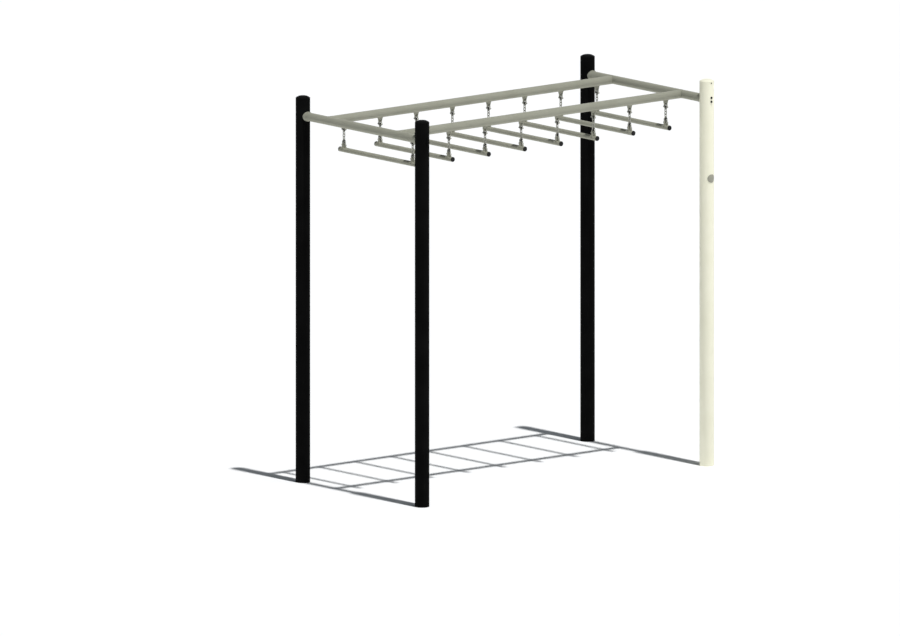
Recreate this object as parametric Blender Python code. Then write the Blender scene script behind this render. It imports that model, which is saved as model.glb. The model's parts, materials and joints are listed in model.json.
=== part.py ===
"""Monkey bars with eight swinging rungs, each hung on two short chains between two rails.

Metres, +Z up. X runs along the ladder, Y across it, and Z = 0 is the ground.
The origin is the middle of the four posts on the ground.
"""
import math

import bmesh
import bpy
from mathutils import Matrix, Vector

# Frame
POST_SPACING_X = 2.600
POST_SPACING_Y = 1.300
OVERALL_HEIGHT = 2.745
POST_DIAMETER = 0.1016
POST_WALL = 0.0036
RAIL_AXIS_BELOW_TOP = 0.140
RAIL_SPACING = 0.750
TUBE_DIAMETER = 0.0603
TUBE_WALL = 0.0032

# Post caps
CAP_RISE = 0.014
CAP_EDGE_HEIGHT = 0.002
CAP_TOP_DIAMETER = 0.059
CAP_PLUG_DEPTH = 0.030
CAP_PLUG_WALL = 0.004

# Saddles at the beams' ends, each with two fixed bolts through its post
SADDLE_DIAMETER = 0.069
SADDLE_THICKNESS = 0.014
BOLT_DIAMETER = 0.012
BOLT_SPACING = 0.028
BOLT_HEAD_DIAMETER = 0.016
BOLT_HEAD_HEIGHT = 0.006

# Bare round disc on one post
BADGE_DIAMETER = 0.059
BADGE_THICKNESS = 0.002
BADGE_BELOW_RAILS = 0.559

# Rungs
RUNG_COUNT = 8
FIRST_RUNG_FROM_BEAM = 0.145
RUNG_DIAMETER = 0.035
RUNG_WALL = 0.0026
RUNG_OVERHANG = 0.046
RUNG_CAP_THICKNESS = 0.005
RUNG_CAP_PLUG_DEPTH = 0.018
RUNG_CAP_CHAMFER = 0.0025
FLIPPED_RUNG_COUNT = 4

# Lugs welded under the rails and on the rungs
LUG_THICKNESS = 0.008
LUG_ROOT_WIDTH = 0.044
LUG_TIP_RADIUS = 0.015
RAIL_LUG_DROP = 0.020
RUNG_LUG_RISE = 0.015
RUNG_LUG_SADDLE_DEPTH = 0.009
LUG_HOLE_PLAY = 0.003

# Shackles and their pins
BOW_WIRE_DIAMETER = 0.008
BOW_INSIDE_WIDTH = 0.023
BOW_CORNER_RADIUS = 0.006
SHACKLE_REACH = 0.025
EYE_DIAMETER = 0.014
EYE_PROUD = 0.0005
PIN_DIAMETER = 0.008
PIN_HEAD_HEIGHT = 0.0025
PIN_NUT_HEIGHT = 0.0035

# Black spacers either side of the chain
SPACER_DIAMETER = 0.0185
SPACER_WIDTH = 0.006

# Chain
LINK_COUNT = 5
LINK_WIRE_DIAMETER = 0.006
LINK_PITCH = 0.0183
LINK_INSIDE_WIDTH = 0.011
LINK_END_SHARES = ((1, 0), (0.55, 1), (-0.55, 1), (-1, 0))

# Clearances, and how deep joined pieces run into each other
SEAT_GAP = 0.0003
FIT_GAP = 0.0004
CUT_OVERRUN = 0.004
WELD_DEPTH = 0.0015
LINK_BITE = 0.0006

# Facets round each form
POST_SIDES = 20
TUBE_SIDES = 12
RUNG_SIDES = 12
HOLE_SIDES = 8
WIRE_SIDES = 4
PIN_SIDES = 6
TIP_STEPS = 3
CORNER_STEPS = 1

# Faces that meet at more than this are shaded with a sharp edge
SHARP_EDGE_DEGREES = 50

# Colour, roughness and metallic share of each finish
FINISHES = {
    "black paint": ((0.004, 0.004, 0.0042), 0.35, 0),
    "cream paint": ((0.78, 0.77, 0.64), 0.4, 0),
    "grey paint": ((0.29, 0.28, 0.235), 0.45, 0.3),
    "zinc": ((0.36, 0.36, 0.33), 0.4, 0.9),
    "black nylon": ((0.008, 0.008, 0.008), 0.55, 0),
    "disc grey": ((0.25, 0.25, 0.24), 0.5, 0),
}

AXIS_X = Vector((1, 0, 0))
AXIS_Y = Vector((0, 1, 0))
AXIS_Z = Vector((0, 0, 1))
ORIGIN = Vector((0, 0, 0))

# Places worked out from the sizes above
POST_TOP = OVERALL_HEIGHT - CAP_RISE
RAIL_AXIS_HEIGHT = OVERALL_HEIGHT - RAIL_AXIS_BELOW_TOP
BADGE_HEIGHT = RAIL_AXIS_HEIGHT - BADGE_BELOW_RAILS
POST_FLAT = POST_DIAMETER / 2 * math.cos(math.pi / POST_SIDES)
SADDLE_FACE = POST_DIAMETER / 2 + SADDLE_THICKNESS
RUNG_PITCH = (POST_SPACING_X - FIRST_RUNG_FROM_BEAM * 2) / (RUNG_COUNT - 1)
RUNG_LENGTH = RAIL_SPACING + RUNG_OVERHANG * 2
LUG_HOLE_DIAMETER = BOW_WIRE_DIAMETER + LUG_HOLE_PLAY
BOW_SEAT = (LUG_HOLE_DIAMETER - BOW_WIRE_DIAMETER) / 2 - SEAT_GAP
PIN_SEAT = (LUG_HOLE_DIAMETER - PIN_DIAMETER) / 2 - SEAT_GAP
HANGER_PIVOT_HEIGHT = RAIL_AXIS_HEIGHT - TUBE_DIAMETER / 2 - RAIL_LUG_DROP - BOW_SEAT
FIRST_LINK_TOP = -SHACKLE_REACH + PIN_DIAMETER / 2 - LINK_BITE
LINK_STEP = LINK_PITCH + LINK_BITE
CHAIN_FOOT = FIRST_LINK_TOP - LINK_COUNT * LINK_STEP
LOW_CROWN_HEIGHT = CHAIN_FOOT + BOW_WIRE_DIAMETER / 2
RUNG_PIVOT_DROP = SHACKLE_REACH - LOW_CROWN_HEIGHT
RUNG_AXIS_DROP = PIN_SEAT + RUNG_LUG_RISE + RUNG_DIAMETER / 2
LEG_OFFSET = (BOW_INSIDE_WIDTH + BOW_WIRE_DIAMETER) / 2
EYE_OUTER = LEG_OFFSET + BOW_WIRE_DIAMETER / 2


def clear_scene():
    """Remove every object that the file opened with."""
    for item in list(bpy.data.objects):
        bpy.data.objects.remove(item, do_unlink=True)


def paint(name, colour, roughness, metallic):
    """Return a material with a Principled shader of one colour."""
    material = bpy.data.materials.new(name)
    material.use_nodes = True
    shader = material.node_tree.nodes["Principled BSDF"]
    shader.inputs["Base Color"].default_value = (*colour, 1)
    shader.inputs["Roughness"].default_value = roughness
    shader.inputs["Metallic"].default_value = metallic
    return material


def smooth(mesh):
    """Shade a mesh smooth between its sharp edges, and return it."""
    mesh.shade_smooth()
    mesh.set_sharp_from_angle(angle=math.radians(SHARP_EDGE_DEGREES))
    return mesh


def mesh_from(build, *args):
    """Return the mesh that build(bm, *args) fills in."""
    bm = bmesh.new()
    build(bm, *args)
    bmesh.ops.recalc_face_normals(bm, faces=bm.faces)
    mesh = bpy.data.meshes.new(build.__name__)
    bm.to_mesh(mesh)
    bm.free()
    return smooth(mesh)


def placed(name, mesh, material, location, parent=None, turn=0):
    """Put a mesh in the scene as one named object with its own material."""
    item = bpy.data.objects.new(name, mesh)
    bpy.context.scene.collection.objects.link(item)
    item.location = location
    item.rotation_euler = (0, 0, turn)
    item.parent = parent
    if mesh and not mesh.materials:
        mesh.materials.append(material)
    return item


def combine(first, second, operation):
    """Return the mesh of first joined with second, cut by it, or kept only inside it."""
    kept = bpy.data.objects.new("kept", first)
    tool = bpy.data.objects.new("tool", second)
    for item in (kept, tool):
        bpy.context.scene.collection.objects.link(item)
    step = kept.modifiers.new(operation, "BOOLEAN")
    step.operation = operation
    step.solver = "EXACT"
    step.object = tool
    graph = bpy.context.evaluated_depsgraph_get()
    result = bpy.data.meshes.new_from_object(kept.evaluated_get(graph))
    for item in (kept, tool):
        bpy.data.objects.remove(item, do_unlink=True)
    return smooth(result)


def union_of(meshes):
    """Return one body made of meshes that run into each other."""
    body = meshes[0]
    for mesh in meshes[1:]:
        body = combine(body, mesh, "UNION")
    return body


def moved(mesh, offset):
    """Return a copy of a mesh moved by an offset."""
    copy = mesh.copy()
    copy.transform(Matrix.Translation(offset))
    return copy


def square_to(axis):
    """Return the two directions square to an axis."""
    side = AXIS_X if abs(axis.x) < abs(axis.z) + abs(axis.y) else AXIS_Z
    across = axis.cross(side).normalized()
    return across, axis.cross(across).normalized()


def skin(bm, first, second):
    """Fill the band between two rings, either of which may be one point."""
    sides = len(first)
    for step in range(sides):
        after = (step + 1) % sides
        corners = []
        for vert in (first[step], first[after], second[after], second[step]):
            if vert not in corners:
                corners.append(vert)
        bm.faces.new(corners)


def turned(bm, profile, axis, sides, centre=ORIGIN, closed=False, corner_share=0.5):
    """Turn (radius, distance) points about an axis. A closed profile makes a ring."""
    across, up = square_to(axis)
    rings = []
    for radius, distance in profile:
        foot = centre + axis * distance
        if radius == 0:
            rings.append([bm.verts.new(foot)] * sides)
            continue
        ring = []
        for step in range(sides):
            angle = math.tau * (step + corner_share) / sides
            spoke = across * math.cos(angle) + up * math.sin(angle)
            ring.append(bm.verts.new(foot + spoke * radius))
        rings.append(ring)
    count = len(rings)
    for index in range(count if closed else count - 1):
        skin(bm, rings[index], rings[(index + 1) % count])


def swept(bm, path, plane_normal, radius, closed):
    """Sweep a wire along a flat path, mitred at its corners."""
    rings = []
    last = len(path) - 1
    for index, point in enumerate(path):
        before = point - path[index - 1] if closed or index > 0 else path[1] - point
        after = path[(index + 1) % len(path)] - point if closed or index < last else before
        along = (before.normalized() + after.normalized()).normalized()
        aside = along.cross(plane_normal) / along.dot(before.normalized())
        ring = []
        for step in range(WIRE_SIDES):
            angle = math.tau * step / WIRE_SIDES
            spoke = aside * math.cos(angle) + plane_normal * math.sin(angle)
            ring.append(bm.verts.new(point + spoke * radius))
        rings.append(ring)
    for index in range(len(path) if closed else last):
        skin(bm, rings[index], rings[(index + 1) % len(path)])
    if not closed:
        bm.faces.new(rings[0])
        bm.faces.new(rings[-1])


def tube(bm, outer, wall, axis, start, end, sides, centre=ORIGIN):
    """Make a tube along an axis between two distances."""
    inner = outer / 2 - wall
    profile = [(outer / 2, start), (outer / 2, end), (inner, end), (inner, start)]
    turned(bm, profile, axis, sides, centre, closed=True)


def rod(bm, diameter, axis, start, end, sides, centre=ORIGIN):
    """Make a solid round bar along an axis between two distances."""
    profile = [(0, start), (diameter / 2, start), (diameter / 2, end), (0, end)]
    turned(bm, profile, axis, sides, centre)


def over_corners(diameter, sides):
    """Return the diameter over corners of a hole whose flats lie on a diameter."""
    return diameter / math.cos(math.pi / sides)


def clear_of(diameter, sides):
    """Return the diameter over corners of a cutter that clears a bar by the seat gap."""
    return diameter + over_corners(SEAT_GAP * 2, sides)


def bolt_spots():
    """Return the places of a saddle's two bolts over the ground."""
    return [AXIS_Z * (RAIL_AXIS_HEIGHT + side * BOLT_SPACING / 2) for side in (-1, 1)]


def post_tube(bm):
    """Make the plain tube of a post."""
    tube(bm, POST_DIAMETER, POST_WALL, AXIS_Z, 0, POST_TOP, POST_SIDES)


def post_bores(bm):
    """Make the cutters for the two bolts that pass through a post."""
    reach = POST_DIAMETER / 2 + CUT_OVERRUN
    bore = over_corners(BOLT_DIAMETER + FIT_GAP * 2, HOLE_SIDES)
    for spot in bolt_spots():
        rod(bm, bore, AXIS_Y, -reach, reach, HOLE_SIDES, spot)


def post():
    """Return a post with its bolt holes."""
    return combine(mesh_from(post_tube), mesh_from(post_bores), "DIFFERENCE")


def post_cap(bm):
    """Make a hollow cap with a low dome, and a plug that fits inside the post."""
    rim = POST_DIAMETER / 2
    plug = rim - POST_WALL - FIT_GAP
    foot = POST_TOP - CAP_PLUG_DEPTH
    roof = POST_TOP + CAP_EDGE_HEIGHT
    shoulder = (rim + CAP_TOP_DIAMETER / 2) / 2 + CAP_EDGE_HEIGHT
    profile = [
        (0, OVERALL_HEIGHT),
        (CAP_TOP_DIAMETER / 2, OVERALL_HEIGHT),
        (shoulder, (OVERALL_HEIGHT + roof) / 2),
        (rim, roof),
        (rim, POST_TOP + SEAT_GAP),
        (plug, POST_TOP + SEAT_GAP),
        (plug, foot),
        (plug - CAP_PLUG_WALL, foot),
        (plug - CAP_PLUG_WALL, POST_TOP),
        (0, POST_TOP),
    ]
    turned(bm, profile, AXIS_Z, POST_SIDES)


def saddle_disc(bm):
    """Make the disc of a saddle, on the +Y side of its post."""
    rod(bm, SADDLE_DIAMETER, AXIS_Y, 0, SADDLE_FACE, POST_SIDES, AXIS_Z * RAIL_AXIS_HEIGHT)


def saddle_cope(bm):
    """Make the cutter that fits a saddle to its post."""
    height = RAIL_AXIS_HEIGHT
    reach = SADDLE_DIAMETER / 2 + CUT_OVERRUN
    bore = clear_of(POST_DIAMETER, POST_SIDES)
    rod(bm, bore, AXIS_Z, height - reach, height + reach, POST_SIDES)


def saddle_bolt(bm, spot):
    """Make one fixed bolt: root in the saddle, shank through the post, head on its far side."""
    head = -POST_FLAT - SEAT_GAP
    root = SADDLE_FACE - WELD_DEPTH
    radius = BOLT_DIAMETER / 2
    crown = BOLT_HEAD_DIAMETER / 2
    profile = [
        (0, root),
        (radius, root),
        (radius, head),
        (crown, head),
        (crown, head - BOLT_HEAD_HEIGHT / 2),
        (crown / 2, head - BOLT_HEAD_HEIGHT),
        (0, head - BOLT_HEAD_HEIGHT),
    ]
    turned(bm, profile, AXIS_Y, HOLE_SIDES, spot)


def saddle():
    """Return a saddle with its two bolts, for a beam on the +Y side of its post."""
    disc = combine(mesh_from(saddle_disc), mesh_from(saddle_cope), "DIFFERENCE")
    return union_of([disc] + [mesh_from(saddle_bolt, spot) for spot in bolt_spots()])


def end_beam(bm):
    """Make a beam along Y that butts on two saddles."""
    half = POST_SPACING_Y / 2 - SADDLE_FACE - SEAT_GAP
    tube(bm, TUBE_DIAMETER, TUBE_WALL, AXIS_Y, -half, half, TUBE_SIDES)


def lug_outline(tip, root):
    """Return the XZ outline of a tapered lug, its round tip about the height tip."""
    up = math.copysign(1, tip - root)
    rise = abs(tip - root)
    half = LUG_ROOT_WIDTH / 2
    tangent = math.acos(LUG_TIP_RADIUS / math.hypot(half, rise)) - math.atan2(rise, half)
    points = [(half, root)]
    for step in range(TIP_STEPS + 1):
        angle = tangent + (math.pi - 2 * tangent) * step / TIP_STEPS
        points.append((LUG_TIP_RADIUS * math.cos(angle), tip + up * LUG_TIP_RADIUS * math.sin(angle)))
    points.append((-half, root))
    return points


def lug_plate(bm, tip, root):
    """Extrude a lug's outline to its thickness."""
    half = AXIS_Y * LUG_THICKNESS / 2
    corners = [bm.verts.new(Vector((x, 0, z)) - half) for x, z in lug_outline(tip, root)]
    made = bmesh.ops.extrude_face_region(bm, geom=[bm.faces.new(corners)])
    verts = [item for item in made["geom"] if isinstance(item, bmesh.types.BMVert)]
    bmesh.ops.translate(bm, verts=verts, vec=half * 2)


def lug_hole(bm, height):
    """Make the cutter for a lug's hole."""
    reach = LUG_THICKNESS / 2 + CUT_OVERRUN
    bore = over_corners(LUG_HOLE_DIAMETER, HOLE_SIDES)
    rod(bm, bore, AXIS_Y, -reach, reach, HOLE_SIDES, AXIS_Z * height)


def lug(tip, root):
    """Return a lug with its hole at the height tip."""
    return combine(mesh_from(lug_plate, tip, root), mesh_from(lug_hole, tip), "DIFFERENCE")


def rung_spots():
    """Return the place of each rung along the ladder."""
    middle = (RUNG_COUNT - 1) / 2
    return [AXIS_X * (index - middle) * RUNG_PITCH for index in range(RUNG_COUNT)]


def rail():
    """Return a rail along X, coped to the two beams, with a lug under it for each rung."""
    half = POST_SPACING_X / 2

    def bar(bm):
        rod(bm, TUBE_DIAMETER, AXIS_X, -half, half, TUBE_SIDES)

    def bore(bm):
        inner = TUBE_DIAMETER - TUBE_WALL * 2
        rod(bm, inner, AXIS_X, -half - CUT_OVERRUN, half + CUT_OVERRUN, TUBE_SIDES)

    def copes(bm):
        around = clear_of(TUBE_DIAMETER, TUBE_SIDES)
        for side in (-1, 1):
            end = AXIS_X * half * side
            rod(bm, around, AXIS_Y, -TUBE_DIAMETER, TUBE_DIAMETER, TUBE_SIDES, end)

    underside = -TUBE_DIAMETER / 2
    hanging = lug(underside - RAIL_LUG_DROP, underside + WELD_DEPTH)
    body = union_of([mesh_from(bar)] + [moved(hanging, spot) for spot in rung_spots()])
    body = combine(body, mesh_from(bore), "DIFFERENCE")
    return combine(body, mesh_from(copes), "DIFFERENCE")


def badge():
    """Return a thin round disc bent to the -Y face of its post."""
    inner = POST_DIAMETER / 2 + SEAT_GAP
    outer = inner + BADGE_THICKNESS

    def shell(bm):
        half = BADGE_DIAMETER / 2 + CUT_OVERRUN
        tube(bm, outer * 2, BADGE_THICKNESS, AXIS_Z, -half, half, POST_SIDES * 2)

    def disc(bm):
        rod(bm, BADGE_DIAMETER, -AXIS_Y, 0, outer + CUT_OVERRUN, POST_SIDES)

    return combine(mesh_from(shell), mesh_from(disc), "INTERSECT")


def rung():
    """Return a rung with its two lugs, about its hinge axis."""
    half = RUNG_LENGTH / 2 - RUNG_CAP_THICKNESS - SEAT_GAP

    def bar(bm):
        rod(bm, RUNG_DIAMETER, AXIS_Y, -half, half, RUNG_SIDES)

    def bore(bm):
        inner = RUNG_DIAMETER - RUNG_WALL * 2
        rod(bm, inner, AXIS_Y, -half - CUT_OVERRUN, half + CUT_OVERRUN, RUNG_SIDES)

    top = RUNG_DIAMETER / 2
    standing = lug(top + RUNG_LUG_RISE, top - RUNG_LUG_SADDLE_DEPTH)
    lugs = [moved(standing, AXIS_Y * side * RAIL_SPACING / 2) for side in (-1, 1)]
    body = combine(union_of([mesh_from(bar)] + lugs), mesh_from(bore), "DIFFERENCE")
    return moved(body, AXIS_Z * -RUNG_AXIS_DROP)


def rung_cap(bm, side):
    """Make an end cap whose plug fits inside the rung, about the rung's hinge axis."""
    face = RUNG_LENGTH / 2
    seat = face - RUNG_CAP_THICKNESS
    rim = RUNG_DIAMETER / 2
    plug = rim - RUNG_WALL - FIT_GAP
    profile = [
        (0, seat - RUNG_CAP_PLUG_DEPTH),
        (plug, seat - RUNG_CAP_PLUG_DEPTH),
        (plug, seat),
        (rim, seat),
        (rim, face - RUNG_CAP_CHAMFER),
        (rim - RUNG_CAP_CHAMFER, face),
        (0, face),
    ]
    turned(bm, profile, AXIS_Y * side, RUNG_SIDES, AXIS_Z * -RUNG_AXIS_DROP)


def bow(bm):
    """Make a shackle's bow, its crown at Z = 0 and its feet on the pin."""
    straight = LEG_OFFSET - BOW_CORNER_RADIUS
    half = [(LEG_OFFSET, -SHACKLE_REACH)]
    for step in range(CORNER_STEPS + 1):
        angle = math.pi / 2 * step / CORNER_STEPS
        across = straight + BOW_CORNER_RADIUS * math.cos(angle)
        half.append((across, BOW_CORNER_RADIUS * (math.sin(angle) - 1)))
    path = [Vector((0, y, z)) for y, z in half]
    path += [Vector((0, -y, z)) for y, z in reversed(half)]
    swept(bm, path, AXIS_X, BOW_WIRE_DIAMETER / 2, closed=False)


def shackle_pin(bm):
    """Make a pin along Y with the eyes round it: head beyond the eye at -Y, nut at +Y."""
    head = -EYE_OUTER - PIN_HEAD_HEIGHT
    nut = EYE_OUTER + PIN_NUT_HEIGHT
    inside = BOW_INSIDE_WIDTH / 2 - EYE_PROUD
    shank = PIN_DIAMETER / 2
    boss = EYE_DIAMETER / 2
    profile = [
        (0, head),
        (boss, head),
        (boss, -inside),
        (shank, -inside),
        (shank, inside),
        (boss, inside),
        (boss, nut),
        (0, nut),
    ]
    turned(bm, profile, AXIS_Y, PIN_SIDES, AXIS_Z * -SHACKLE_REACH, corner_share=0)


def shackle():
    """Return a shackle closed by its pin, the crown of its bow at Z = 0."""
    return union_of([mesh_from(bow), mesh_from(shackle_pin)])


def spacer(bm, side, height):
    """Make one of the two spacers beside a link."""
    near = LINK_WIRE_DIAMETER / 2 + FIT_GAP
    rod(bm, SPACER_DIAMETER, AXIS_Y * side, near, near + SPACER_WIDTH, PIN_SIDES, AXIS_Z * height)


def link_path(aside):
    """Return the path of a link that hangs by its inside top at Z = 0."""
    bend = (LINK_INSIDE_WIDTH + LINK_WIRE_DIAMETER) / 2
    reach = LINK_INSIDE_WIDTH / 2
    upper = [aside * bend * across + AXIS_Z * (bend * up - reach) for across, up in LINK_END_SHARES]
    middle = AXIS_Z * -LINK_PITCH
    return upper + [middle - point for point in upper]


def link(bm, index):
    """Make one link of a chain, every other one turned a quarter."""
    aside, normal = (AXIS_X, AXIS_Y) if index % 2 == 0 else (AXIS_Y, AXIS_X)
    top = AXIS_Z * (FIRST_LINK_TOP - index * LINK_STEP)
    path = [top + point for point in link_path(aside)]
    swept(bm, path, normal, LINK_WIRE_DIAMETER / 2, closed=True)


def hanger():
    """Return a chain with a shackle at each end, joined as one body below its pivot."""
    closed = shackle()
    parts = [closed]
    parts += [mesh_from(link, index) for index in range(LINK_COUNT)]
    parts.append(moved(closed, AXIS_Z * LOW_CROWN_HEIGHT))
    for height in (-SHACKLE_REACH, LOW_CROWN_HEIGHT):
        parts += [mesh_from(spacer, side, height) for side in (-1, 1)]
    return union_of(parts)


def build_frame(paints):
    """Build the posts, beams and rails, which stand still."""
    post_mesh = post()
    cream_mesh = post_mesh.copy()
    cap_mesh = mesh_from(post_cap)
    cream_cap = cap_mesh.copy()
    saddle_mesh = saddle()
    beam_mesh = mesh_from(end_beam)
    rail_mesh = rail()
    for column, side_x in (("left", -1), ("right", 1)):
        for row, side_y in (("front", -1), ("back", 1)):
            corner = f"{column}_{row}"
            spot = AXIS_X * side_x * POST_SPACING_X / 2 + AXIS_Y * side_y * POST_SPACING_Y / 2
            cream = side_x > 0 > side_y
            shade = paints["cream paint" if cream else "black paint"]
            placed(f"post_{corner}", cream_mesh if cream else post_mesh, shade, spot)
            placed(f"post_cap_{corner}", cream_cap if cream else cap_mesh, shade, spot)
            turn = 0 if side_y < 0 else math.pi
            placed(f"beam_saddle_{corner}", saddle_mesh, paints["grey paint"], spot, turn=turn)
        spot = AXIS_X * side_x * POST_SPACING_X / 2 + AXIS_Z * RAIL_AXIS_HEIGHT
        placed(f"end_beam_{column}", beam_mesh, paints["grey paint"], spot)
    for row, side_y in (("front", -1), ("back", 1)):
        spot = AXIS_Y * side_y * RAIL_SPACING / 2 + AXIS_Z * RAIL_AXIS_HEIGHT
        placed(f"rail_{row}", rail_mesh, paints["grey paint"], spot)
    spot = Vector((POST_SPACING_X / 2, -POST_SPACING_Y / 2, BADGE_HEIGHT))
    placed("badge_disc", badge(), paints["disc grey"], spot)


def build_rungs(paints):
    """Build each rung with its two chains, on empties that lie on their joints' axes."""
    hanger_mesh = hanger()
    rung_mesh = rung()
    caps = {side: mesh_from(rung_cap, side) for side in (-1, 1)}
    for index, spot in enumerate(rung_spots()):
        number = index + 1
        upper = placed(f"hanger_pivot_{number}", None, None, spot + AXIS_Z * HANGER_PIVOT_HEIGHT)
        lower = placed(f"rung_pivot_{number}", None, None, AXIS_Z * -RUNG_PIVOT_DROP, upper)
        turn = 0 if index < FLIPPED_RUNG_COUNT else math.pi
        for row, side in (("front", -1), ("back", 1)):
            end = AXIS_Y * side * RAIL_SPACING / 2
            placed(f"chain_{number}_{row}", hanger_mesh, paints["zinc"], end, upper, turn)
            placed(f"rung_cap_{number}_{row}", caps[side], paints["black nylon"], ORIGIN, lower)
        placed(f"rung_{number}", rung_mesh, paints["grey paint"], ORIGIN, lower)


def build():
    """Build the whole part."""
    clear_scene()
    paints = {name: paint(name, *finish) for name, finish in FINISHES.items()}
    build_frame(paints)
    build_rungs(paints)


build()
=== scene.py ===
"""Looks of a set of monkey bars with eight swinging rungs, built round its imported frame.

Metres, +Z up. X runs along the ladder, Y across it, and Z = 0 is the ground. Every place
comes from the frame: from a node's box or from a joint. The sizes that a box doesn't give,
such as a wall, a bend or a bead, are fields of the class that makes the piece.
"""

import json
import logging
import math
from collections.abc import Callable, Iterable, Sequence
from dataclasses import dataclass
from enum import Enum
from functools import lru_cache

import bpy
from mathutils import Matrix, Vector


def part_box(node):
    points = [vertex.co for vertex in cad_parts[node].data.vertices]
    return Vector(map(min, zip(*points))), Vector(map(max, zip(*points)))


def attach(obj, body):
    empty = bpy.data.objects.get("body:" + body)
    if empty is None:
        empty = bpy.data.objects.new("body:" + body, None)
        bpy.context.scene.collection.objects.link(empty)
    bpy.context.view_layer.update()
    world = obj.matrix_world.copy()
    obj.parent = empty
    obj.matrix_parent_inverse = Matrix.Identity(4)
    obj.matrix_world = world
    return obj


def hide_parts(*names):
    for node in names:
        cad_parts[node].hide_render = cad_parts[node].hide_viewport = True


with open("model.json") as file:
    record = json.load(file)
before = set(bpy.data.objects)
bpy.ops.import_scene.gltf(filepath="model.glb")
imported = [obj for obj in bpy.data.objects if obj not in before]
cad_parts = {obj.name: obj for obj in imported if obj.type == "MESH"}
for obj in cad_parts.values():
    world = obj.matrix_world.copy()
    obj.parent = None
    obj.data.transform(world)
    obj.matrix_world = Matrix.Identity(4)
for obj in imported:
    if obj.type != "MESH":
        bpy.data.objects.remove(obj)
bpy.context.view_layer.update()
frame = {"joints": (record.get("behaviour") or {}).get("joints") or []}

LOG = logging.getLogger("monkey_bars")
MM = 0.001
Piece = bpy.types.Object
Tree = bpy.types.NodeTree
Node = bpy.types.Node
Output = tuple[Node, str]
Patterns = tuple[Output, Output, Output]
Links = dict[str | int, Output]
Span = tuple[float, float]
Profile = Sequence[Span]
Facets = tuple[int, int]

# Clearance between pieces that are seated on each other
SEAT_GAP = 0.3 * MM
# Points closer than this are one point
MERGE_DISTANCE = 0.01 * MM
# Edges that turn by more degrees than this look sharp; pieces of few facets need more
SHARP = 35.0
SHARP_SMALL = 40.0
SHARP_COARSE = 50.0
# Facets across a rounding that shows from near
FINE_ROUNDING = 3
HEXAGON = 6
QUARTER_TURN = math.pi / 2


class Axis(Enum):
    """The direction that a turned piece lies along, and the turn that lays a primitive's Z there."""

    X = ((1.0, 0.0, 0.0), (0.0, QUARTER_TURN, 0.0))
    Y = ((0.0, 1.0, 0.0), (-QUARTER_TURN, 0.0, 0.0))
    Z = ((0.0, 0.0, 1.0), (0.0, 0.0, 0.0))

    @property
    def way(self) -> Vector:
        """The axis as a vector of length one."""
        return Vector(self.value[0])

    @property
    def lay(self) -> tuple[float, float, float]:
        """The turn that lays a primitive's own Z along this axis."""
        return self.value[1]


class Column(Enum):
    """The two ends of the ladder."""

    LEFT = "left"
    RIGHT = "right"


class Row(Enum):
    """The two long sides of the ladder, front towards -Y."""

    FRONT = "front"
    BACK = "back"

    @property
    def side(self) -> int:
        """The sign of Y on this side."""
        return -1 if self is Row.FRONT else 1


class End(Enum):
    """The two ends of a chain."""

    UPPER = "upper"
    LOWER = "lower"


class Keep(Enum):
    """What a cut keeps of a piece: what lies outside the tool, or inside it."""

    OUTSIDE = "DIFFERENCE"
    INSIDE = "INTERSECT"


@dataclass(frozen=True)
class Corner:
    """A corner of the ladder, where a post stands."""

    column: Column
    row: Row

    def __str__(self) -> str:
        """Return the corner's part of a name."""
        return f"{self.column.value}_{self.row.value}"

    def at_height(self, height: float) -> Vector:
        """Return the point of the post's axis at a height."""
        post = middle(f"post_{self}")
        return Vector((post.x, post.y, height))


# Bench: the modelling steps that every sub-assembly uses


def deselect_all() -> None:
    """Go to object mode with nothing selected."""
    if bpy.context.object is not None and bpy.context.object.mode != "OBJECT":
        bpy.ops.object.mode_set(mode="OBJECT")
    bpy.ops.object.select_all(action="DESELECT")


def pick(piece: Piece, *others: Piece) -> None:
    """Select some pieces and nothing else, the first of them active."""
    deselect_all()
    for each in (piece, *others):
        each.select_set(True)
    bpy.context.view_layer.objects.active = piece


def edit_all(piece: Piece) -> None:
    """Enter edit mode on a piece with all of it selected."""
    pick(piece)
    bpy.ops.object.mode_set(mode="EDIT")
    bpy.ops.mesh.select_all(action="SELECT")


def select_vertices(piece: Piece, wanted: Callable[[Vector], bool]) -> None:
    """Select the vertices whose place passes a test, and enter edit mode.

    Args:
        piece: the object to work on.
        wanted: says whether the vertex at a place is selected.
    """
    pick(piece)
    bpy.context.tool_settings.mesh_select_mode = (True, False, False)
    mesh = piece.data
    mesh.polygons.foreach_set("select", [False] * len(mesh.polygons))
    mesh.edges.foreach_set("select", [False] * len(mesh.edges))
    mesh.vertices.foreach_set("select", [wanted(vertex.co) for vertex in mesh.vertices])
    bpy.ops.object.mode_set(mode="EDIT")


def settle(piece: Piece) -> Piece:
    """Put a piece's place, turn and size into its mesh, and return it."""
    pick(piece)
    bpy.ops.object.transform_apply(location=True, rotation=True, scale=True)
    return piece


def open_circle(sides: int, radius: float, spot: Vector, axis: Axis) -> Piece:
    """Return a circle without a face, all of it selected in edit mode."""
    deselect_all()
    bpy.ops.mesh.primitive_circle_add(
        vertices=sides, radius=radius, fill_type="NOTHING", location=spot, rotation=axis.lay
    )
    piece = settle(bpy.context.object)
    bpy.ops.object.mode_set(mode="EDIT")
    return piece


def close_up(piece: Piece) -> Piece:
    """Merge doubled points in edit mode, fill open ends, point faces outwards, and return the piece."""
    bpy.ops.mesh.select_all(action="SELECT")
    bpy.ops.mesh.remove_doubles(threshold=MERGE_DISTANCE)
    bpy.ops.mesh.fill_holes(sides=0)
    bpy.ops.mesh.select_all(action="SELECT")
    bpy.ops.mesh.normals_make_consistent(inside=False)
    deselect_all()
    return piece


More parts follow.
